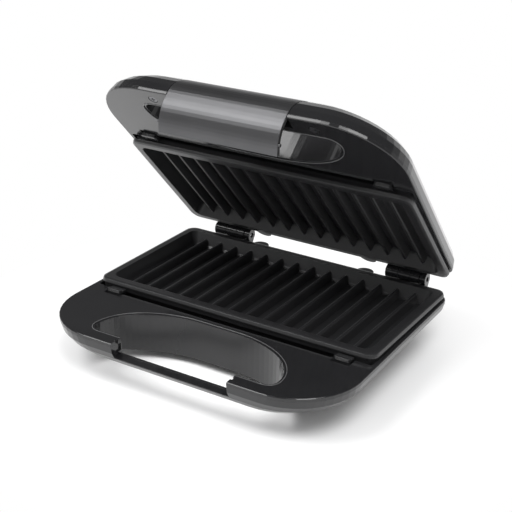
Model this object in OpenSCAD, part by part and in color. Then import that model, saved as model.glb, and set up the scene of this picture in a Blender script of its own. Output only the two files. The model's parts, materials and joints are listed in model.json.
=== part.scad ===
// Countertop sandwich toaster with a hinged lid and two ribbed grill plates.
// Both halves are drawn in a half frame: x to the right, y to the back, z = 0 on the seam plane
// where the two plates meet, negative z into the half. The origin lies on the hinge axis.

/* [Housing] */
// Overall width of the housing
housing_w = 236; // [232:1:250]
// From the hinge axis to the front of the housing
housing_front = 203.2; // [198:0.1:215]
// From the hinge axis to the rear wall
housing_rear = 5.2; // [5:0.1:6]
// Radius of the front corners in plan
front_corner_r = 48; // [40:1:56]
// Radius of the rear corners in plan
rear_corner_r = 12; // [6:1:18]
// How much narrower each side is at the back
rear_taper = 2; // [0:0.5:2.5]
// Wall thickness of the moulded shells
wall = 2.5; // [2:0.1:3]
// Seam plane down to the underside of the base
base_depth = 36; // [34:0.5:42]
// Seam plane up to the top of the lid
lid_depth = 38; // [36:0.5:44]
// Height of the feet below the base
foot_h = 6; // [4:0.5:10]

/* [Rim covers] */
// Seam plane to the flat face of each rim cover
rim_drop = 5.8; // [5:0.1:6.5]
// Thickness of the rim covers
rim_t = 2.5; // [2:0.1:3]
// Gap in front of the plates, where the release clips sit
slot_gap = 6.2; // [6:0.1:7]

/* [Handle opening] */
// Hinge axis to the back of the handle opening
grip_back = 143.8; // [142:0.1:147]
// Hinge axis to the front of the opening in the base
base_grip_front = 191.2; // [188:0.1:193]
// Hinge axis to the front of the opening in the lid
lid_grip_front = 184; // [182:0.1:186]
// Width of the opening in the base
base_grip_w = 147; // [140:1:152]
// Width of the opening in the lid
lid_grip_w = 152; // [145:1:154]
// Width of the notch that takes the latch panel
notch_w = 93; // [80:1:100]
// Hinge axis to the back of the notch
notch_back = 190.2; // [189:0.1:192]
// Seam plane to the top of the bar below the notch
bar_drop = 18; // [17.5:0.1:20]

/* [Grill plates] */
// Width of a grill plate
plate_w = 230; // [220:1:231]
// Depth of a grill plate, front to back
plate_d = 122.3; // [118:0.1:123]
// Hinge axis to the back edge of the plates
plate_rear = 9.2; // [9:0.1:10]
// Flat flange around the cavity
flange_w = 8; // [6:0.5:10]
// Depth of the cavity below the seam plane
cavity_depth = 10.5; // [9:0.1:11]
// Thickness of the cast floor
plate_floor = 2.5; // [2:0.1:3]
// Distance between neighbouring ribs
rib_pitch = 14.4; // [12:0.1:18]
// Height of a rib above the cavity floor
rib_h = 6; // [4:0.1:7]
// Width of a rib at its foot
rib_w = 6; // [4:0.1:8]

/* [Hinge] */
// Opening angle of the lid in the stored pose
lid_open = 46.5; // [0:0.5:90]
// Radius of the hinge knuckles
knuckle_r = 5.5; // [4.5:0.1:6]
// Radius of the hinge pins
pin_r = 2; // [1.5:0.1:2.5]
// Running clearance of every pin in its bore
pin_play = 0.05; // [0.02:0.01:0.1]
// Outer end of each hinge, from the middle of the appliance
hinge_left = -94; // [-96:0.5:-90]
// Inner end of the right hinge
hinge_right = 62; // [58:0.5:66]

/* [Latch] */
// Thickness of the latch panel
panel_t = 3; // [2.4:0.1:3.4]
// How far the panel reaches past the seam plane
panel_reach = 17; // [15:0.1:17]
// Gap at each end of the panel
panel_gap = 0.5; // [0.4:0.1:0.8]
// Radius of the panel's pin
latch_pin_r = 1.25; // [1:0.05:1.5]

/* [Hidden] */

// Place of the half frame in the appliance: the floor at z = 0 and the middle of the opened
// appliance at y = 0, between the front of the base and the rearmost part of the lid
seam_h = base_depth + foot_h;
half_w = housing_w / 2;
rim_under = rim_drop + rim_t;
rear_bow = 10;
lid_back = rim_under * sin(lid_open) - (housing_rear + rear_bow) * cos(lid_open)
    + sqrt(pow(rear_bow * cos(lid_open), 2) + pow((lid_depth - rim_under) * sin(lid_open), 2));
hinge_y = (housing_front - lid_back) / 2;
cut = 0.1;
fine = 64;

// Bow of the boat shaped shells, as horizontal half axes of their elliptic sections
base_side_bow = 75;
base_front_bow = 47;
lid_side_bow = 58;
lid_front_bow = 60;
bow_levels = 8;
corner_shrink = 14;
corner_steps = 12;

// Colours
dark = [0.17, 0.17, 0.18];
gloss = [0.12, 0.12, 0.13];
coating = [0.11, 0.11, 0.12];
steel = [0.72, 0.72, 0.73];
tin = [0.82, 0.82, 0.83];
rubber = [0.06, 0.06, 0.06];
ceramic = [0.93, 0.91, 0.87];

// Points along part of an ellipse
function arc_points(cx, cy, rx, ry, from, to, steps) =
    [for (i = [0:steps]) let (a = from + (to - from) * i / steps) [cx + rx * cos(a), cy + ry * sin(a)]];

// Plan outline of the housing, drawn in from each side by the given amounts
function housing_points(in_side, in_front, in_rear, corner) =
    let (
        w = half_w - in_side,
        wr = w - rear_taper,
        f = -(housing_front - in_front),
        r = -(housing_rear + in_rear),
        rr = max(rear_corner_r - in_rear / 2, 2)
    )
    concat(
        arc_points(w - corner, f + corner, corner, corner, -90, 0, corner_steps),
        arc_points(wr - rr, r - rr, rr, rr, 0, 90, 6),
        arc_points(-(wr - rr), r - rr, rr, rr, 90, 180, 6),
        arc_points(-(w - corner), f + corner, corner, corner, 180, 270, corner_steps)
    );

// Plan outline of a handle opening, grown by g
function grip_points(w, front, g) =
    let (
        flat = 15,
        tip = 7,
        rise = front - tip - grip_back
    )
    concat(
        arc_points(w / 2 - tip, -(front - tip), tip + g, tip + g, -90, 0, 6),
        arc_points(flat, -(front - tip), w / 2 - flat + g, rise + g, 4, 90, 16),
        arc_points(-flat, -(front - tip), w / 2 - flat + g, rise + g, 90, 176, 16),
        arc_points(-(w / 2 - tip), -(front - tip), tip + g, tip + g, 180, 270, 6)
    );

// Rectangle from y0 to y1 with corner radius r0 in front and r1 at the back
function rounded_box(x, y0, y1, r0, r1) =
    concat(
        arc_points(x - r0, y0 + r0, r0, r0, -90, 0, 6),
        arc_points(x - r1, y1 - r1, r1, r1, 0, 90, 6),
        arc_points(-(x - r1), y1 - r1, r1, r1, 90, 180, 6),
        arc_points(-(x - r0), y0 + r0, r0, r0, 180, 270, 6)
    );

module block(x, y, z) {
    translate([x[0], y[0], z[0]])
        cube([x[1] - x[0], y[1] - y[0], z[1] - z[0]]);
}

module slab(points, z0, z1) {
    translate([0, 0, z0])
        linear_extrude(z1 - z0)
            polygon(points);
}

// Solid body of a shell: plan outlines stacked along an elliptic section
module bowl(depth, side_bow, front_bow, inset = 0, lift = 0) {
    hull() {
        for (i = [0:bow_levels]) {
            a = 90 * i / bow_levels;
            in = 1 - cos(a);
            z = -rim_under - (depth - inset - rim_under) * sin(a);
            slab(
                housing_points(
                    side_bow * in + inset,
                    front_bow * in + inset,
                    rear_bow * in + inset,
                    front_corner_r - inset - corner_shrink * in
                ),
                i == 0 ? z - cut : z,
                i == 0 ? z + lift : z + 0.02
            );
        }
    }
}

module base_bowl(inset = 0, lift = 0) {
    bowl(base_depth, base_side_bow, base_front_bow, inset, lift);
}

module lid_bowl(inset = 0, lift = 0) {
    bowl(lid_depth, lid_side_bow, lid_front_bow, inset, lift);
}

// The base keeps the half frame upright
module in_base() {
    translate([0, hinge_y, seam_h])
        children();
}

// The lid is the other half, turned over the seam and opened about the hinge axis
module in_lid() {
    translate([0, hinge_y, seam_h])
        rotate([-lid_open, 0, 0])
            mirror([0, 0, 1])
                children();
}

// A round bar along x
module rod_x(x0, x1, y, z, r) {
    translate([x0, y, z])
        rotate([0, 90, 0])
            cylinder(h = x1 - x0, r = r, $fn = fine);
}

// Hinge: each one has a lid knuckle, a base knuckle, a lid ear and a base block on one pin
knuckle_w = 10;
ear_w = 6.6;
end_block_w = 4.6;
knuckle_gap = 0.5;
base_knuckle_x = knuckle_w + knuckle_gap;
ear_x = base_knuckle_x + knuckle_w + knuckle_gap;
end_block_x = ear_x + ear_w + knuckle_gap;
hinge_w = end_block_x + end_block_w;
hinge_starts = [hinge_left, hinge_right];

module knuckle(x0, w, depth, r) {
    difference() {
        translate([x0, 0, 0])
            rotate([90, 0, 90])
                linear_extrude(w)
                    union() {
                        circle(r = r, $fn = fine);
                        polygon([
                            [-housing_rear - wall / 2, -rim_under - cut],
                            [-housing_rear + cut, -rim_under],
                            [-r * cos(50), -r * sin(50)],
                            [r * sin(20), -r * cos(20)],
                            [r * cos(10), -r * sin(10)],
                            [-housing_rear, -depth],
                            [-housing_rear - wall / 2, -depth]
                        ]);
                    }
        rod_x(x0 - 1, x0 + w + 1, 0, 0, pin_r + pin_play);
    }
}

// Rim cover shared by both halves: a flat cover with the plate opening and the handle opening
rim_edge = 0.5;
side_clear = 0.5;
opening_front_clear = 2.3;
opening_rear_clear = 1.9;
bevel = 2.4;
flange_t = 3.3;
face_gap = 0.2;
step_in = 1.3;
skirt_w = plate_w / 2 - step_in;
skirt_front = plate_rear + plate_d - step_in;
skirt_rear = plate_rear + step_in;
plate_under = cavity_depth + plate_floor;
skirt_depth = rim_drop + 1.6;
body_in = 4;
slot_front = plate_rear + plate_d + slot_gap;
slot_half = 101;
collar_t = 2.2;
lip_w = 1.8;
lip_sink = 0.4;

// Release clips
clip_x = 95;
clip_w = 12;
clip_travel = 2.5;
clip_t = 2;
clip_rear = slot_front - 1.1;
clip_foot_w = clip_w + 6;
clip_foot_t = 1.5;
clip_play = 0.3;
clip_pocket_front = clip_rear + clip_t + clip_travel + 0.5;
hook_len = 5;
hook_t = 1.6;
lug_t = 1.8;
lug_len = 3;
lug_top = rim_drop + clip_play + 0.3;
tray_rear = skirt_front + 2.2;
tray_front = clip_pocket_front + 2.6;

module rim_body() {
    hull() {
        slab(housing_points(0, 0, 0, front_corner_r), -rim_under, -rim_drop - rim_edge);
        slab(housing_points(rim_edge, rim_edge, rim_edge, front_corner_r - rim_edge), -rim_drop - cut, -rim_drop);
    }
}

module plate_opening(z0, z1) {
    slab(
        rounded_box(
            skirt_w + side_clear, -skirt_front - opening_front_clear, -skirt_rear + opening_rear_clear,
            2, rear_corner_r - 3
        ),
        z0,
        z1
    );
    block([-slot_half, slot_half], [-slot_front, -skirt_rear], [z0, z1]);
    for (s = [-1, 1])
        block(
            [s * clip_x - clip_w / 2 - 1, s * clip_x + clip_w / 2 + 1],
            [-clip_pocket_front, -skirt_front],
            [z0, z1]
        );
}

// Tray under the cover in which the foot of a clip slides
module clip_tray(s) {
    half = clip_foot_w / 2 + clip_play;
    top = -rim_under;
    floor_z = top - clip_foot_t - 2 * clip_play;
    difference() {
        block([s * clip_x - half - 1.5, s * clip_x + half + 1.5], [-tray_front, -tray_rear], [floor_z - 1.5, top]);
        block([s * clip_x - half, s * clip_x + half], [-tray_front + 1.5, -tray_rear + cut], [floor_z, top + cut]);
    }
}

module rim(grip_w, grip_front) {
    difference() {
        rim_body();
        slab(grip_points(grip_w, grip_front, 0), -rim_under - cut, -rim_drop + cut);
        slab(grip_points(grip_w, grip_front, lip_w), -rim_drop - lip_sink, -rim_drop + cut);
        plate_opening(-rim_under - cut, -rim_drop + cut);
    }
    for (s = [-1, 1])
        clip_tray(s);
}

// Lining of a handle opening, cut off flush with the outside of the shell
module collar(grip_w, grip_front) {
    difference() {
        slab(grip_points(grip_w, grip_front, collar_t), -lid_depth - base_depth, -rim_under + 1);
        slab(grip_points(grip_w, grip_front, 0), -lid_depth - base_depth - 1, -rim_under + 2);
    }
}

// Cast grill plate
rib_top_w = 3;
cavity_slope = 5;
cavity_half = plate_w / 2 - flange_w;
rib_field = cavity_half - cavity_slope - rib_w / 2;
rib_count = 2 * floor(rib_field / rib_pitch + 0.5);
rib_gap = 1.5;
tab_r = 7;
tab_x = 47;
cavity_front = plate_rear + plate_d - flange_w;
cavity_rear = plate_rear + flange_w;

module plate_rect(inset, z0, z1, r) {
    slab(rounded_box(plate_w / 2 - inset, -(plate_rear + plate_d - inset), -(plate_rear + inset), r, r), z0, z1);
}

module rib(x) {
    foot_z = -cavity_depth - cut;
    top_z = -cavity_depth + rib_h;
    translate([x, -cavity_rear + 1, 0])
        rotate([90, 0, 0])
            linear_extrude(cavity_front - cavity_rear - cavity_slope / 2 - rib_gap)
                polygon(concat(
                    [[-rib_w / 2, foot_z], [rib_w / 2, foot_z]],
                    arc_points(0, top_z - 1, rib_top_w / 2, 1, 0, 180, 8)
                ));
}

module plate() {
    difference() {
        union() {
            hull() {
                plate_rect(0, -flange_t - face_gap, -bevel - face_gap, 8);
                plate_rect(0.7, -0.7 - face_gap, -0.6 - face_gap, 7.3);
                plate_rect(bevel, -face_gap - 0.1, -face_gap, 5.6);
            }
            plate_rect(step_in, -skirt_depth, -flange_t, 6.7);
            plate_rect(step_in + body_in, -plate_under, -flange_t, 4);
            for (s = [-1, 1])
                translate([s * tab_x, -plate_rear - 1, -flange_t - face_gap])
                    cylinder(h = 2, r = tab_r, $fn = fine);
            for (s = [-1, 1])
                block(
                    [s * clip_x - clip_w / 2 + 1, s * clip_x + clip_w / 2 - 1],
                    [-skirt_front - lug_len, -skirt_front + body_in + 1],
                    [-lug_top - lug_t, -lug_top]
                );
        }
        hull() {
            plate_rect(flange_w - 1, 0, cut, 6);
            plate_rect(flange_w, -1.2, -1.1, 5);
            plate_rect(flange_w + cavity_slope - 1.5, -cavity_depth + 1.4, -cavity_depth + 1.5, 3.5);
            plate_rect(flange_w + cavity_slope, -cavity_depth, -cavity_depth + 0.1, 3);
        }
    }
    for (i = [0:rib_count - 1])
        rib((i - (rib_count - 1) / 2) * rib_pitch);
}

// Sheet metal pan under the heater, with a sloped wall
pan_t = 0.8;
pan_top = plate_under + 0.3;
pan_bottom = plate_under + 9.5;
pan_inset = 16;
pan_slope = 12;

module pan_solid(inset, top, bottom) {
    hull() {
        plate_rect(pan_inset + inset, -top, -top + 0.1, 8);
        plate_rect(pan_inset + pan_slope + inset, -bottom, -bottom + 0.1, 6);
    }
}

module reflector() {
    difference() {
        union() {
            pan_solid(0, pan_top + pan_t, pan_bottom);
            plate_rect(pan_inset - 5, -pan_top - pan_t, -pan_top, 10);
        }
        pan_solid(pan_t, pan_top - cut, pan_bottom - pan_t);
        for (s = [-1, 1])
            translate([s * pan_screw_x, pan_screw_y, -pan_bottom - 1])
                cylinder(h = 3, r = screw_r + 0.3, $fn = 24);
    }
}

// Tubular heater: a long loop with both cold ends at the right
heater_r = 3.2;
heater_z = -(plate_under + 0.3 + heater_r);
heater_bend = 30;
heater_mid_y = -(plate_rear + plate_d / 2);
heater_left = -52;
heater_right = 66;

module heater() {
    for (s = [-1, 1]) {
        rod_x(heater_left, heater_right, heater_mid_y + s * heater_bend, heater_z, heater_r);
        rod_x(heater_right - 1, heater_right + 9, heater_mid_y + s * heater_bend, heater_z, 1.5);
    }
    translate([heater_left, heater_mid_y, heater_z])
        rotate([0, 0, 90])
            rotate_extrude(angle = 180, $fn = fine)
                translate([heater_bend, 0])
                    circle(r = heater_r, $fn = 32);
}

// Fasteners
screw_r = 1.5;
screw_head_r = 3.1;
screw_head_t = 1.8;
pan_screw_x = 40;
pan_screw_y = heater_mid_y;
post_r = 4.2;
lid_screw_x = 62.5;
lid_screw_y = -192.7;
lid_screw_sink = 2;
base_screw_x = 84;
base_screw_y = -163;
base_screw_seat = 24;
post_meet = 17;

module screw(length) {
    difference() {
        cylinder(h = screw_head_t, r = screw_head_r, $fn = 32);
        translate([0, 0, screw_head_t - 0.8])
            for (a = [0, 90])
                rotate([0, 0, a])
                    cube([3.6, 0.8, 1.8], center = true);
    }
    translate([0, 0, -length])
        cylinder(h = length, r = screw_r, $fn = 32);
}

module pan_screws() {
    for (s = [-1, 1])
        translate([s * pan_screw_x, pan_screw_y, -pan_bottom + pan_t])
            screw(8);
}

module pan_posts(floor_depth) {
    for (s = [-1, 1])
        difference() {
            translate([s * pan_screw_x, pan_screw_y, -floor_depth + wall / 2])
                cylinder(h = floor_depth - wall / 2 - pan_bottom, r = post_r, $fn = 32);
            translate([s * pan_screw_x, pan_screw_y, -pan_bottom - 9])
                cylinder(h = 10, r = screw_r + 0.05, $fn = 32);
        }
}

// Release clip: hook over the plate's lug, thumb pad and a foot that slides in the tray
module clip(s) {
    foot_top = -rim_under - clip_play;
    block([s * clip_x - clip_w / 2, s * clip_x + clip_w / 2], [-clip_rear - clip_t, -clip_rear], [foot_top - cut, -rim_drop + 2.6]);
    block([s * clip_x - clip_w / 2, s * clip_x + clip_w / 2], [-clip_rear - cut, -clip_rear + hook_len], [-rim_drop - 0.1, -rim_drop + hook_t - 0.1]);
    block(
        [s * clip_x - clip_foot_w / 2, s * clip_x + clip_foot_w / 2],
        [-clip_rear - clip_t, -tray_rear - 0.4],
        [foot_top - clip_foot_t, foot_top]
    );
    for (i = [0:2])
        rod_x(
            s * clip_x - clip_w / 2 + 1, s * clip_x + clip_w / 2 - 1,
            -clip_rear - clip_t + 0.1, -rim_drop + 0.5 + 0.8 * i, 0.35
        );
}

// Base
foot_x = 70;
foot_front_y = -134;
foot_rear_y = -28;
foot_r = 8.5;
pad_r = 7;
pad_t = 3.6;
pad_sink = 1.6;
inlet_z = -22;
inlet_r = 8;
inlet_seat = 5;
cord_r = 3.6;
fit = 0.05;

// Nubs at the ends of the latch panel and the recesses that take them
nub_r = 1.1;
nub_out = 0.8;
nub_y = -196.8;
nub_z = 11;
recess_x = nub_out + 0.5;
liner_t = 2.2;

module feet_places() {
    for (s = [-1, 1])
        for (y = [foot_front_y, foot_rear_y])
            translate([s * foot_x, y, 0])
                children();
}

module base_screw_places() {
    for (s = [-1, 1])
        translate([s * base_screw_x, base_screw_y, 0])
            children();
}

module nub_recess() {
    for (s = [0, 1])
        mirror([s, 0, 0]) {
            block([notch_w / 2 - 1, notch_w / 2 + recess_x], [nub_y - 1.7, nub_y + 1.7], [-nub_z - 4, 1]);
            block(
                [notch_w / 2 - 1, notch_w / 2 + recess_x],
                [nub_y - 1.7, nub_y + 4.5],
                [-nub_z - 4, -nub_z + 1.6]
            );
        }
}

module base_notch() {
    block([-notch_w / 2, notch_w / 2], [-housing_front - 1, -notch_back], [-bar_drop, 1]);
}

module shell_fittings() {
    side = notch_w / 2 + recess_x + liner_t;
    block([-side, side], [-housing_front, -base_grip_front], [-bar_drop - liner_t, -rim_under]);
    base_screw_places()
        translate([0, 0, -base_depth])
            cylinder(h = base_depth - post_meet, r = screw_head_r + 2, $fn = 32);
    pan_posts(base_depth);
}

module base_shell() {
    color(gloss)
        in_base()
            difference() {
                union() {
                    difference() {
                        base_bowl();
                        base_bowl(wall, 1);
                    }
                    intersection() {
                        base_bowl();
                        shell_fittings();
                    }
                    feet_places()
                        translate([0, 0, -seam_h + pad_t - pad_sink])
                            cylinder(h = foot_h + 2.5, r = foot_r, $fn = 48);
                    for (x = hinge_starts) {
                        knuckle(x + base_knuckle_x, knuckle_w, 20, knuckle_r);
                        knuckle(x + end_block_x, end_block_w, 20, knuckle_r - 0.6);
                    }
                    translate([0, -housing_rear, inlet_z])
                        rotate([90, 0, 0])
                            cylinder(h = inlet_seat, r = inlet_r + 4, $fn = 48);
                }
                slab(grip_points(base_grip_w, base_grip_front, collar_t + 0.1), -base_depth - 1, 0);
                base_notch();
                nub_recess();
                feet_places()
                    translate([0, 0, -seam_h - 1])
                        cylinder(h = pad_t + 1, r = pad_r + fit, $fn = 48);
                base_screw_places() {
                    translate([0, 0, -base_depth - 1])
                        cylinder(h = base_depth + 1 - base_screw_seat, r = screw_head_r + 0.4, $fn = 32);
                    translate([0, 0, -base_depth])
                        cylinder(h = base_depth, r = screw_r + 0.2, $fn = 32);
                }
                translate([0, -housing_rear + 1, inlet_z])
                    rotate([90, 0, 0])
                        cylinder(h = inlet_seat + 3, r = inlet_r + fit, $fn = 48);
                translate([0, -housing_rear - inlet_seat, inlet_z])
                    rotate([90, 0, 0])
                        cylinder(h = 3, r = inlet_r + 2, $fn = 48);
            }
}

module base_rim() {
    color(dark)
        in_base()
            difference() {
                union() {
                    rim(base_grip_w, base_grip_front);
                    intersection() {
                        base_bowl();
                        collar(base_grip_w, base_grip_front);
                    }
                    base_screw_places()
                        translate([0, 0, -post_meet])
                            cylinder(h = post_meet - rim_under + 1, r = post_r, $fn = 32);
                }
                base_notch();
                nub_recess();
                base_screw_places()
                    translate([0, 0, -post_meet - 1])
                        cylinder(h = 8, r = screw_r + fit, $fn = 32);
            }
}

module base_plate() {
    color(coating)
        in_base()
            plate();
}

module base_reflector() {
    color(tin)
        in_base()
            reflector();
}

module base_element() {
    color(steel)
        in_base()
            heater();
}

// Snap-disc thermostat against the underside of the plate
module base_thermostat() {
    color(ceramic)
        in_base()
            translate([0, heater_mid_y, -plate_under - 0.2]) {
                translate([0, 0, -2])
                    cylinder(h = 2, r = 9, $fn = 48);
                translate([0, 0, -7])
                    cylinder(h = 5.1, r = 7.5, $fn = 48);
                for (s = [-1, 1])
                    block([s * 10 - 2, s * 10 + 2], [-3, 3], [-3.4, -2.6]);
                block([-12, 12], [-3, 3], [-3.4, -2.6]);
            }
}

module thermal_fuse(y) {
    z = -plate_under - 0.3 - 2;
    rod_x(-9, 9, y, z, 2);
    rod_x(-22, 22, y, z, 0.5);
}

module base_thermal_fuse() {
    color(tin)
        in_base()
            thermal_fuse(heater_mid_y - 18);
}

module base_terminal_block() {
    color(ceramic)
        in_base()
            translate([0, -32, -base_depth + wall]) {
                difference() {
                    block([-15, 15], [-6, 6], [0, 9]);
                    for (i = [-1:1])
                        translate([i * 9, 0, 3])
                            cylinder(h = 8, r = 2.2, $fn = 24);
                    for (i = [-1:1])
                        translate([i * 9, 8, 3.5])
                            rotate([90, 0, 0])
                                cylinder(h = 16, r = 1.4, $fn = 24);
                }
            }
}

module base_clip_left() {
    color(gloss)
        in_base()
            clip(-1);
}

module base_clip_right() {
    color(gloss)
        in_base()
            clip(1);
}

module base_feet() {
    color(rubber)
        in_base()
            feet_places()
                translate([0, 0, -seam_h]) {
                    cylinder(h = pad_t, r = pad_r, $fn = 48);
                }
}

module base_screws() {
    color(steel)
        in_base() {
            base_screw_places()
                translate([0, 0, -base_screw_seat])
                    mirror([0, 0, 1])
                        screw(base_screw_seat - rim_under - 3);
            pan_screws();
        }
}

module cord_grommet() {
    color(rubber)
        in_base()
            translate([0, -housing_rear, inlet_z])
                rotate([90, 0, 0])
                    difference() {
                        union() {
                            translate([0, 0, -1.5])
                                cylinder(h = 1.5, r = inlet_r + 2, $fn = 48);
                            cylinder(h = inlet_seat, r = inlet_r, $fn = 48);
                            translate([0, 0, inlet_seat])
                                cylinder(h = 1.4, r1 = inlet_r + 1.2, r2 = inlet_r, $fn = 48);
                        }
                        translate([0, 0, -3])
                            cylinder(h = inlet_seat + 6, r = cord_r, $fn = 48);
                    }
}

module hinge_pins() {
    color(steel)
        in_base()
            for (x = hinge_starts)
                rod_x(x + 1, x + hinge_w - 1, 0, 0, pin_r);
}

// Latch panel: follows the front of the lid shell, then curls back below the seam
curl_r = 26;
curl_z = -4;
panel_top_a = 44;
panel_end_a = asin((panel_reach - curl_z) / curl_r);
latch_y = -193.5;
latch_z = -18.5;
latch_boss_r = 2.8;
panel_top_clear = 1.3;

// Profile of the front in y and z at depth t below the skin, from angle a_top down to a_end
function front_points(t, a_top, a_end) =
    concat(
        arc_points(
            -housing_front + lid_front_bow, -rim_under,
            -(lid_front_bow - t), -(lid_depth - rim_under - t), a_top, 0, 10
        ),
        arc_points(-housing_front + curl_r, curl_z, -(curl_r - t), curl_r - t, 0, a_end, 10)
    );

function reversed(points) = [for (i = [len(points) - 1:-1:0]) points[i]];

// Extrudes a profile in y and z along x, centred, over the width w
module across(w) {
    translate([-w / 2, 0, 0])
        rotate([90, 0, 90])
            linear_extrude(w)
                children();
}

module front_band(t_out, t_in, a_top, a_end) {
    polygon(concat(front_points(t_out, a_top, a_end), reversed(front_points(t_in, a_top, a_end))));
}

// Room for the panel in the front of the lid
module panel_room() {
    across(notch_w)
        union() {
            translate([-housing_front - 1, -lid_depth - 1])
                square([housing_front + 1 - notch_back, lid_depth + 2]);
            front_band(-8, panel_t + panel_top_clear, panel_top_a + 3, 0);
        }
}

module lid_screw_places() {
    for (s = [-1, 1])
        translate([s * lid_screw_x, lid_screw_y, 0])
            children();
}

module lid_fittings() {
    side = notch_w / 2 + liner_t;
    for (s = [0, 1])
        mirror([s, 0, 0])
            block([notch_w / 2 - 1, side], [-housing_front, -lid_grip_front - collar_t - 0.1], [-lid_depth, -rim_under]);
    block([-side, side], [-notch_back, -lid_grip_front - collar_t - 0.1], [-lid_depth, -rim_under]);
    lid_screw_places()
        translate([0, 0, -lid_depth])
            cylinder(h = lid_depth - rim_under, r = post_r, $fn = 32);
    pan_posts(lid_depth);
    for (s = [-1, 1])
        translate([s * carrier_x, lens_y, -lid_depth])
            cylinder(h = lid_depth - carrier_z, r = 2.5, $fn = 24);
}

lens_x = 14;
lens_y = -128;
lens_r = 4;
carrier_x = 26;
carrier_z = 28;

module lid_shell() {
    color(gloss)
        in_lid()
            difference() {
                union() {
                    difference() {
                        lid_bowl();
                        lid_bowl(wall, 1);
                    }
                    intersection() {
                        lid_bowl();
                        lid_fittings();
                    }
                    for (x = hinge_starts) {
                        knuckle(x, knuckle_w, 20, knuckle_r);
                        knuckle(x + ear_x, ear_w, 20, knuckle_r);
                    }
                }
                slab(grip_points(lid_grip_w, lid_grip_front, collar_t + 0.1), -lid_depth - 1, 0);
                panel_room();
                rod_x(-notch_w / 2 - 1.8, notch_w / 2 + 1.8, latch_y, latch_z, latch_pin_r + pin_play);
                lid_screw_places()
                    translate([0, 0, -18])
                        cylinder(h = 18, r = screw_r + fit, $fn = 32);
                for (s = [-1, 1])
                    translate([s * lens_x, lens_y, -lid_depth - 1])
                        cylinder(h = wall + 2, r = lens_r + fit, $fn = 48);
            }
}

module lid_rim() {
    color(dark)
        in_lid()
            difference() {
                union() {
                    rim(lid_grip_w, lid_grip_front);
                    intersection() {
                        lid_bowl();
                        collar(lid_grip_w, lid_grip_front);
                    }
                }
                panel_room();
                lid_screw_places() {
                    translate([0, 0, -rim_under - 1])
                        cylinder(h = 6, r = screw_r + 0.2, $fn = 32);
                    translate([0, 0, -rim_drop - lid_screw_sink])
                        cylinder(h = 6, r = screw_head_r + 0.4, $fn = 32);
                }
            }
}

module lid_plate() {
    color(coating)
        in_lid()
            plate();
}

module lid_reflector() {
    color(tin)
        in_lid()
            reflector();
}

module lid_element() {
    color(steel)
        in_lid()
            heater();
}

module lid_thermal_fuse() {
    color(tin)
        in_lid()
            thermal_fuse(heater_mid_y + 18);
}

module lid_clip_left() {
    color(gloss)
        in_lid()
            clip(-1);
}

module lid_clip_right() {
    color(gloss)
        in_lid()
            clip(1);
}

module lid_screws() {
    color(steel)
        in_lid() {
            lid_screw_places()
                translate([0, 0, -rim_drop - lid_screw_sink])
                    screw(9);
            pan_screws();
        }
}

// Indicator lens: a domed window with a flange behind the lid's skin
module lens(x) {
    translate([x, lens_y, 0]) {
        translate([0, 0, -lid_depth])
            cylinder(h = wall, r = lens_r, $fn = 48);
        translate([0, 0, -lid_depth - 0.6])
            cylinder(h = 0.6, r1 = lens_r - 0.8, r2 = lens_r, $fn = 48);
        translate([0, 0, -lid_depth + wall])
            cylinder(h = 1, r = lens_r + 1.5, $fn = 48);
    }
}

module lens_power() {
    color([0.75, 0.08, 0.05])
        in_lid()
            lens(-lens_x);
}

module lens_ready() {
    color([0.1, 0.55, 0.15])
        in_lid()
            lens(lens_x);
}

// Carrier with the two lamps, on two posts of the lid shell
module lamp_carrier() {
    color(ceramic)
        in_lid() {
            block([-carrier_x - 3.5, carrier_x + 3.5], [lens_y - 4, lens_y + 4], [-carrier_z, -carrier_z + 1.5]);
            for (s = [-1, 1])
                translate([s * lens_x, lens_y, -lid_depth + wall + 1.5])
                    cylinder(h = lid_depth - wall - 1.5 - carrier_z + cut, r = 2.6, $fn = 32);
        }
}

module latch_panel() {
    half = notch_w / 2 - panel_gap;
    color(dark)
        in_lid()
            difference() {
                union() {
                    across(2 * half)
                        front_band(0, panel_t, panel_top_a, panel_end_a);
                    for (s = [0, 1])
                        mirror([s, 0, 0]) {
                            translate([half - 6, 0, 0])
                                rotate([90, 0, 90])
                                    linear_extrude(4)
                                        union() {
                                            translate([latch_y, latch_z])
                                                circle(r = latch_boss_r, $fn = 48);
                                            polygon([
                                                [latch_y - latch_boss_r, latch_z],
                                                front_points(panel_t - 0.4, 12, 0)[0],
                                                front_points(panel_t - 0.4, 28, 0)[0],
                                                [latch_y + latch_boss_r * 0.6, latch_z - latch_boss_r * 0.8]
                                            ]);
                                        }
                            rod_x(half - 1, half + panel_gap + nub_out, nub_y, nub_z, nub_r);
                        }
                }
                rod_x(-half, half, latch_y, latch_z, latch_pin_r + pin_play);
            }
}

module latch_pin() {
    color(steel)
        in_lid()
            rod_x(-notch_w / 2 - 1.6, notch_w / 2 + 1.6, latch_y, latch_z, latch_pin_r);
}

base_shell();
base_rim();
base_plate();
base_reflector();
base_element();
base_thermostat();
base_thermal_fuse();
base_terminal_block();
base_clip_left();
base_clip_right();
base_feet();
base_screws();
cord_grommet();
hinge_pins();
lid_shell();
lid_rim();
lid_plate();
lid_reflector();
lid_element();
lid_thermal_fuse();
lid_clip_left();
lid_clip_right();
lid_screws();
lens_power();
lens_ready();
lamp_carrier();
latch_panel();
latch_pin();
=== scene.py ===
"""Looks of the sandwich toaster: finishes, beads with a painted highlight round the handle openings,
floor, light and camera.
"""
import json
import math

import bpy
from mathutils import Matrix, Vector


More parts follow.
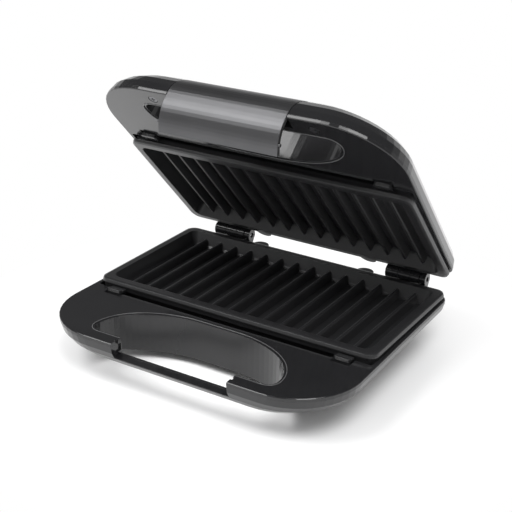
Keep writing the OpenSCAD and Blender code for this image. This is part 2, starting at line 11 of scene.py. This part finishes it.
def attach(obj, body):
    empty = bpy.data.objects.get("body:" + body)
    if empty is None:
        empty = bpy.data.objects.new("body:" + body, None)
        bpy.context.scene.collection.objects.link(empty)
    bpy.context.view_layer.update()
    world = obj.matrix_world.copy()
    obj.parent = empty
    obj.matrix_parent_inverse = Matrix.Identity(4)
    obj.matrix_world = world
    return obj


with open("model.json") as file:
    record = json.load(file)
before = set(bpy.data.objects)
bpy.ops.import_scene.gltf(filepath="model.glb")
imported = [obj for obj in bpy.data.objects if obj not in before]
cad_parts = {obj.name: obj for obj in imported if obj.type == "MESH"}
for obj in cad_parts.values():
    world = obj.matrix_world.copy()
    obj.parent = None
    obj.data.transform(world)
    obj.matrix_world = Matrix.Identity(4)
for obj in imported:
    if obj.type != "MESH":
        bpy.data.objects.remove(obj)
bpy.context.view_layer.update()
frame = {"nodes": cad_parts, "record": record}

MM = 0.001

# Hinge axis, and the angle by which the lid stands open at rest
JOINTS = {joint["name"]: joint for joint in frame["record"]["behaviour"]["joints"]}
HINGE = Vector(JOINTS["lid_hinge"]["pos_m"])
LID_OPEN = math.radians(46.5)

# Handle openings in millimetres, as in the part: half width, front and back from the hinge axis
BASE_GRIP = (73.5, 191.2, 143.8)
LID_GRIP = (76.0, 184.0, 143.8)
GRIP_FLAT = 15.0
GRIP_TIP = 7.0
NOTCH_HALF = 46.5
RIM_DROP = 5.8
LIP_W = 1.8

# Angles and steps of the arcs of a handle opening
TIP_STEPS = 8
BACK_START = 4
BACK_STEPS = 32

# Radius of the beads in millimetres, and the sides of their section
BEAD_R = 0.35
BEAD_SIDES = 8

# Noise of the finishes: waves per metre and detail, and the part of its range that the ramps use
DRIFT_SCALE = 35.0
DRIFT_DETAIL = 2.0
WEAR_SCALE = 220.0
WEAR_DETAIL = 4.0
GRAIN_DETAIL = 2.0
RAMP_START = 0.3
RAMP_END = 0.7
EVEN = (1.0, 1.0, 1.0)

# What all finishes share: gloss of the clear coat, quality of rounded edges, limit of smooth shading
COAT_ROUGHNESS = 0.05
EDGE_SAMPLES = 4
SMOOTH_ANGLE = math.radians(32)

# Floor, and the radii around the object between which its shadow fades to white
FLOOR_HALF = 12.0
FLOOR_COLOR = (0.95, 0.95, 0.952, 1.0)
FLOOR_ROUGHNESS = 0.8
SHADOW_NEAR = 0.12
SHADOW_FAR = 0.24

# Studio: what glossy surfaces mirror at the horizon and overhead, and the light on everything else
HORIZON = 0.9
OVERHEAD = 0.1
HORIZON_END = 0.04
OVERHEAD_START = 0.34
AMBIENT = 0.72

# Camera of the photograph, aimed at a point measured from the hinge axis; angles are in degrees,
# distances in metres, and lens and sensor in millimetres
CAMERA_TARGET = HINGE + Vector((62.2, -195.0, 82.4)) * MM
CAMERA_AZIMUTH = 31.44
CAMERA_ELEVATION = 23.62
CAMERA_ROLL = 0.92
CAMERA_DISTANCE = 0.6684
CAMERA_LENS = 78.2
CAMERA_SENSOR = 36.0
CAMERA_CLIP = 0.01

# Linear colour, roughness, drift of both, waves per metre and height in metres of the relief;
# edge is the radius in metres by which edges look rounded
FINISHES = {
    "housing": dict(
        color=(0.014, 0.014, 0.015), roughness=0.12, variation=0.08, bump_scale=900.0, bump_height=2e-6,
        edge=0.0004,
    ),
    "cover": dict(
        color=(0.015, 0.015, 0.016), roughness=0.14, variation=0.08, bump_scale=900.0, bump_height=3e-6,
        edge=0.0004,
    ),
    # Lighter grey than the housing: a painted highlight on the real lip round the handle openings
    "bead_painted_highlight": dict(
        color=(0.09, 0.09, 0.092), roughness=0.12, variation=0.08, bump_scale=900.0, bump_height=2e-6,
    ),
    "latch": dict(
        color=(0.085, 0.085, 0.088), roughness=0.34, variation=0.06, bump_scale=1500.0, bump_height=3e-6,
        metallic=0.8, stretch=(0.05, 1.0, 1.0), edge=0.0003,
    ),
    "clip": dict(
        color=(0.018, 0.018, 0.019), roughness=0.22, variation=0.1, bump_scale=900.0, bump_height=3e-6,
        edge=0.0003,
    ),
    "grill_plate": dict(
        color=(0.017, 0.017, 0.018), roughness=0.32, variation=0.08, bump_scale=5200.0, bump_height=3e-6,
        edge=0.0006,
    ),
    "reflector": dict(
        color=(0.75, 0.75, 0.77), roughness=0.2, variation=0.1, bump_scale=500.0, bump_height=4e-6,
        metallic=1.0,
    ),
    "heater": dict(
        color=(0.32, 0.31, 0.30), roughness=0.42, variation=0.15, bump_scale=900.0, bump_height=5e-6,
        metallic=0.9,
    ),
    "ceramic": dict(
        color=(0.78, 0.75, 0.68), roughness=0.55, variation=0.05, bump_scale=1200.0, bump_height=6e-6,
    ),
    "rubber": dict(
        color=(0.012, 0.012, 0.012), roughness=0.75, variation=0.1, bump_scale=1500.0, bump_height=1e-5,
    ),
    "screw": dict(
        color=(0.16, 0.16, 0.17), roughness=0.32, variation=0.15, bump_scale=1200.0, bump_height=4e-6,
        metallic=1.0, edge=0.0002,
    ),
    "pin": dict(
        color=(0.5, 0.5, 0.51), roughness=0.25, variation=0.1, bump_scale=1200.0, bump_height=3e-6,
        metallic=1.0,
    ),
    "lens_red": dict(
        color=(0.42, 0.012, 0.008), roughness=0.12, variation=0.05, bump_scale=400.0, bump_height=2e-6,
        coat=0.6,
    ),
    "lens_green": dict(
        color=(0.02, 0.24, 0.04), roughness=0.12, variation=0.05, bump_scale=400.0, bump_height=2e-6,
        coat=0.6,
    ),
}


def new_material(name):
    material = bpy.data.materials.new(name)
    material.use_nodes = True
    nodes = material.node_tree.nodes
    return material, nodes, material.node_tree.links, nodes["Principled BSDF"]


def link_noise(nodes, links, scale, detail, stretch):
    """Noise in object space, in metres, stretched along the axes."""
    coords = nodes.new("ShaderNodeTexCoord")
    mapping = nodes.new("ShaderNodeMapping")
    mapping.inputs["Scale"].default_value = stretch
    links.new(coords.outputs["Object"], mapping.inputs["Vector"])
    noise = nodes.new("ShaderNodeTexNoise")
    noise.inputs["Scale"].default_value = scale
    noise.inputs["Detail"].default_value = detail
    links.new(mapping.outputs["Vector"], noise.inputs["Vector"])
    return noise.outputs["Fac"]


def link_ramp(nodes, links, value, low, high, start=RAMP_START, end=RAMP_END):
    """Maps a value to a grey or a colour between low and high."""
    ramp = nodes.new("ShaderNodeValToRGB")
    ramp.color_ramp.elements[0].position = start
    ramp.color_ramp.elements[0].color = low
    ramp.color_ramp.elements[1].position = end
    ramp.color_ramp.elements[1].color = high
    links.new(value, ramp.inputs["Fac"])
    return ramp.outputs["Color"]


def grey(value):
    return (value, value, value, 1.0)


def tint(color, factor):
    return (color[0] * factor, color[1] * factor, color[2] * factor, 1.0)


def finish_material(name, color, roughness, variation, bump_scale, bump_height, metallic=0.0, coat=0.0,
                    stretch=EVEN, edge=0.0):
    """A moulded or cast surface: colour drift, uneven gloss, fine relief and softened edges."""
    material, nodes, links, shader = new_material(name)
    low, high = 1 - variation, 1 + variation
    drift = link_noise(nodes, links, DRIFT_SCALE, DRIFT_DETAIL, EVEN)
    colors = link_ramp(nodes, links, drift, tint(color, low), tint(color, high))
    links.new(colors, shader.inputs["Base Color"])
    wear = link_noise(nodes, links, WEAR_SCALE, WEAR_DETAIL, stretch)
    gloss = link_ramp(nodes, links, wear, grey(roughness * low), grey(roughness * high))
    links.new(gloss, shader.inputs["Roughness"])
    grain = link_noise(nodes, links, bump_scale, GRAIN_DETAIL, stretch)
    bump = nodes.new("ShaderNodeBump")
    bump.inputs["Strength"].default_value = 1.0
    bump.inputs["Distance"].default_value = bump_height
    links.new(grain, bump.inputs["Height"])
    if edge:
        rounding = nodes.new("ShaderNodeBevel")
        rounding.samples = EDGE_SAMPLES
        rounding.inputs["Radius"].default_value = edge
        links.new(rounding.outputs["Normal"], bump.inputs["Normal"])
    links.new(bump.outputs["Normal"], shader.inputs["Normal"])
    shader.inputs["Metallic"].default_value = metallic
    shader.inputs["Coat Weight"].default_value = coat
    shader.inputs["Coat Roughness"].default_value = COAT_ROUGHNESS
    return material


def dress_nodes(materials):
    """Gives every node its material, and smooth shading across the shallow edges of faceted shells."""
    slots = {part["node"]: part["material_slot"] for part in frame["record"]["subparts"]}
    for name, node in frame["nodes"].items():
        node.data.materials.clear()
        node.data.materials.append(materials[slots[name]])
        node.data.shade_smooth()
        node.data.set_sharp_from_angle(angle=SMOOTH_ANGLE)


def arc(cx, cy, rx, ry, start, end, steps):
    angles = [math.radians(start + (end - start) * i / steps) for i in range(steps + 1)]
    return [(cx + rx * math.cos(a), cy + ry * math.sin(a)) for a in angles]


def grip_outline(grip, grow):
    """Outline of a handle opening in plan, anticlockwise from the right end of its front edge."""
    half, front, back = grip
    mid = GRIP_TIP - front
    rise = front - GRIP_TIP - back
    right = arc(half - GRIP_TIP, mid, GRIP_TIP + grow, GRIP_TIP + grow, -90, 0, TIP_STEPS)
    right += arc(GRIP_FLAT, mid, half - GRIP_FLAT + grow, rise + grow, BACK_START, 90, BACK_STEPS)
    return right + [(-x, y) for x, y in reversed(right)]


def in_base(x, y, z):
    """Point of the lower half in the scene, from its place off the hinge axis in millimetres."""
    return HINGE + Vector((x, y, z)) * MM


def in_lid(x, y, z):
    """The same for the upper half, which is mirrored at the seam and opened about the hinge axis."""
    sin, cos = math.sin(LID_OPEN), math.cos(LID_OPEN)
    return HINGE + Vector((x, y * cos - z * sin, -y * sin - z * cos)) * MM


def tube_points(points, up, closed):
    """Rings of points round a path."""
    verts = []
    last = len(points) - 1
    for i, point in enumerate(points):
        before = points[i - 1] if closed or i else point
        after = points[0 if i == last else i + 1] if closed or i < last else point
        side = (after - before).normalized().cross(up)
        for k in range(BEAD_SIDES):
            turn = 2 * math.pi * k / BEAD_SIDES
            verts.append(point + (side * math.cos(turn) + up * math.sin(turn)) * BEAD_R * MM)
    return verts


def tube_faces(count, closed):
    """Faces between the rings, with a cap at each end of an open tube."""
    faces = []
    for i in range(count if closed else count - 1):
        a = i * BEAD_SIDES
        b = (i + 1) % count * BEAD_SIDES
        for k in range(BEAD_SIDES):
            following = (k + 1) % BEAD_SIDES
            faces.append((a + k, b + k, b + following, a + following))
    if not closed:
        faces.append(tuple(reversed(range(BEAD_SIDES))))
        faces.append(tuple((count - 1) * BEAD_SIDES + k for k in range(BEAD_SIDES)))
    return faces


def make_bead(name, body, place, outline, closed, material):
    """A thin round bead on the face of a rim cover, along a plan outline."""
    points = [place(x, y, -RIM_DROP) for x, y in outline]
    up = (place(0.0, 0.0, 1.0) - HINGE).normalized()
    mesh = bpy.data.meshes.new(name)
    mesh.from_pydata(tube_points(points, up, closed), [], tube_faces(len(points), closed))
    mesh.shade_smooth()
    mesh.materials.append(material)
    bead_painted_highlight = bpy.data.objects.new(name, mesh)
    bpy.context.collection.objects.link(bead_painted_highlight)
    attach(bead_painted_highlight, body)


def make_grip_beads(material):
    """Beads round the handle openings, whose lighter grey is a painted highlight on the lip; the one of
    the base ends at the notch.
    """
    front = -BASE_GRIP[1] - LIP_W
    base = [(NOTCH_HALF, front)] + grip_outline(BASE_GRIP, LIP_W) + [(-NOTCH_HALF, front)]
    make_bead("grip_bead_base", "base", in_base, base, False, material)
    make_bead("grip_bead_lid", "lid", in_lid, grip_outline(LID_GRIP, LIP_W), True, material)


def lift_to_white(nodes, links, shader):
    """Camera rays see the open floor as white; the shadow near the object stays."""
    coords = nodes.new("ShaderNodeTexCoord")
    distance = nodes.new("ShaderNodeVectorMath")
    distance.operation = "LENGTH"
    links.new(coords.outputs["Object"], distance.inputs[0])
    away = nodes.new("ShaderNodeMapRange")
    away.inputs["From Min"].default_value = SHADOW_NEAR
    away.inputs["From Max"].default_value = SHADOW_FAR
    links.new(distance.outputs["Value"], away.inputs["Value"])
    path = nodes.new("ShaderNodeLightPath")
    seen = nodes.new("ShaderNodeMath")
    seen.operation = "MULTIPLY"
    links.new(away.outputs["Result"], seen.inputs[0])
    links.new(path.outputs["Is Camera Ray"], seen.inputs[1])
    glow = nodes.new("ShaderNodeEmission")
    glow.inputs["Color"].default_value = grey(1.0)
    glow.inputs["Strength"].default_value = 1.0
    blend = nodes.new("ShaderNodeMixShader")
    links.new(seen.outputs["Value"], blend.inputs["Fac"])
    links.new(shader.outputs["BSDF"], blend.inputs[1])
    links.new(glow.outputs["Emission"], blend.inputs[2])
    links.new(blend.outputs["Shader"], nodes["Material Output"].inputs["Surface"])


def make_floor():
    mesh = bpy.data.meshes.new("floor")
    corners = [(x * FLOOR_HALF, y * FLOOR_HALF, 0) for x, y in ((-1, -1), (1, -1), (1, 1), (-1, 1))]
    mesh.from_pydata(corners, [], [(0, 1, 2, 3)])
    floor = bpy.data.objects.new("floor", mesh)
    bpy.context.collection.objects.link(floor)
    material, nodes, links, shader = new_material("floor")
    shader.inputs["Base Color"].default_value = FLOOR_COLOR
    shader.inputs["Roughness"].default_value = FLOOR_ROUGHNESS
    shader.inputs["Specular IOR Level"].default_value = 0.0
    lift_to_white(nodes, links, shader)
    floor.data.materials.append(material)


def link_mix(nodes, links, factor):
    """Colour mix whose factor is an output of another node."""
    mix = nodes.new("ShaderNodeMix")
    mix.data_type = "RGBA"
    links.new(factor, mix.inputs["Factor"])
    return mix


def make_world():
    """White studio: bright at the horizon and dark overhead for what glossy surfaces mirror."""
    world = bpy.data.worlds.new("studio")
    bpy.context.scene.world = world
    world.use_nodes = True
    nodes, links = world.node_tree.nodes, world.node_tree.links
    coords = nodes.new("ShaderNodeTexCoord")
    split = nodes.new("ShaderNodeSeparateXYZ")
    links.new(coords.outputs["Generated"], split.inputs["Vector"])
    sky = link_ramp(
        nodes, links, split.outputs["Z"], grey(HORIZON), grey(OVERHEAD), HORIZON_END, OVERHEAD_START
    )
    path = nodes.new("ShaderNodeLightPath")
    mirrored = link_mix(nodes, links, path.outputs["Is Glossy Ray"])
    mirrored.inputs["A"].default_value = grey(AMBIENT)
    links.new(sky, mirrored.inputs["B"])
    seen = link_mix(nodes, links, path.outputs["Is Camera Ray"])
    seen.inputs["B"].default_value = grey(1.0)
    links.new(mirrored.outputs["Result"], seen.inputs["A"])
    background = nodes["Background"]
    background.inputs["Strength"].default_value = 1.0
    links.new(seen.outputs["Result"], background.inputs["Color"])


def make_lamp(name, place, aim, size, power):
    """A round area lamp; places and size are in metres and power is in watts."""
    data = bpy.data.lights.new(name, "AREA")
    data.shape = "DISK"
    data.size = size
    data.energy = power
    lamp = bpy.data.objects.new(name, data)
    bpy.context.collection.objects.link(lamp)
    lamp.location = place
    lamp.rotation_euler = (Vector(aim) - Vector(place)).to_track_quat("-Z", "Y").to_euler()


def make_camera():
    azimuth, elevation = math.radians(CAMERA_AZIMUTH), math.radians(CAMERA_ELEVATION)
    back = Vector((
        math.sin(azimuth) * math.cos(elevation),
        -math.cos(azimuth) * math.cos(elevation),
        math.sin(elevation),
    ))
    right = Vector((math.cos(azimuth), math.sin(azimuth), 0.0))
    up = back.cross(right)
    roll = math.radians(CAMERA_ROLL)
    rolled_right = right * math.cos(roll) + up * math.sin(roll)
    rolled_up = up * math.cos(roll) - right * math.sin(roll)
    data = bpy.data.cameras.new("camera")
    data.lens = CAMERA_LENS
    data.sensor_width = CAMERA_SENSOR
    data.clip_start = CAMERA_CLIP
    camera = bpy.data.objects.new("camera", data)
    bpy.context.collection.objects.link(camera)
    turn = Matrix((rolled_right, rolled_up, back)).transposed()
    camera.matrix_world = Matrix.Translation(CAMERA_TARGET + back * CAMERA_DISTANCE) @ turn.to_4x4()
    bpy.context.scene.camera = camera


materials = {name: finish_material(name, **finish) for name, finish in FINISHES.items()}
dress_nodes(materials)
# The beads' lighter grey is a painted highlight along the lip of the handle openings
make_grip_beads(materials["bead_painted_highlight"])
make_floor()
make_world()
make_lamp("key", place=(0.7, -0.5, 1.5), aim=(0.0, 0.0, 0.05), size=0.9, power=14.0)
make_lamp("softbox", place=(-0.75, -0.75, 1.35), aim=(0.0, -0.05, 0.1), size=1.0, power=16.0)
make_camera()
bpy.context.scene.view_settings.view_transform = "Standard"
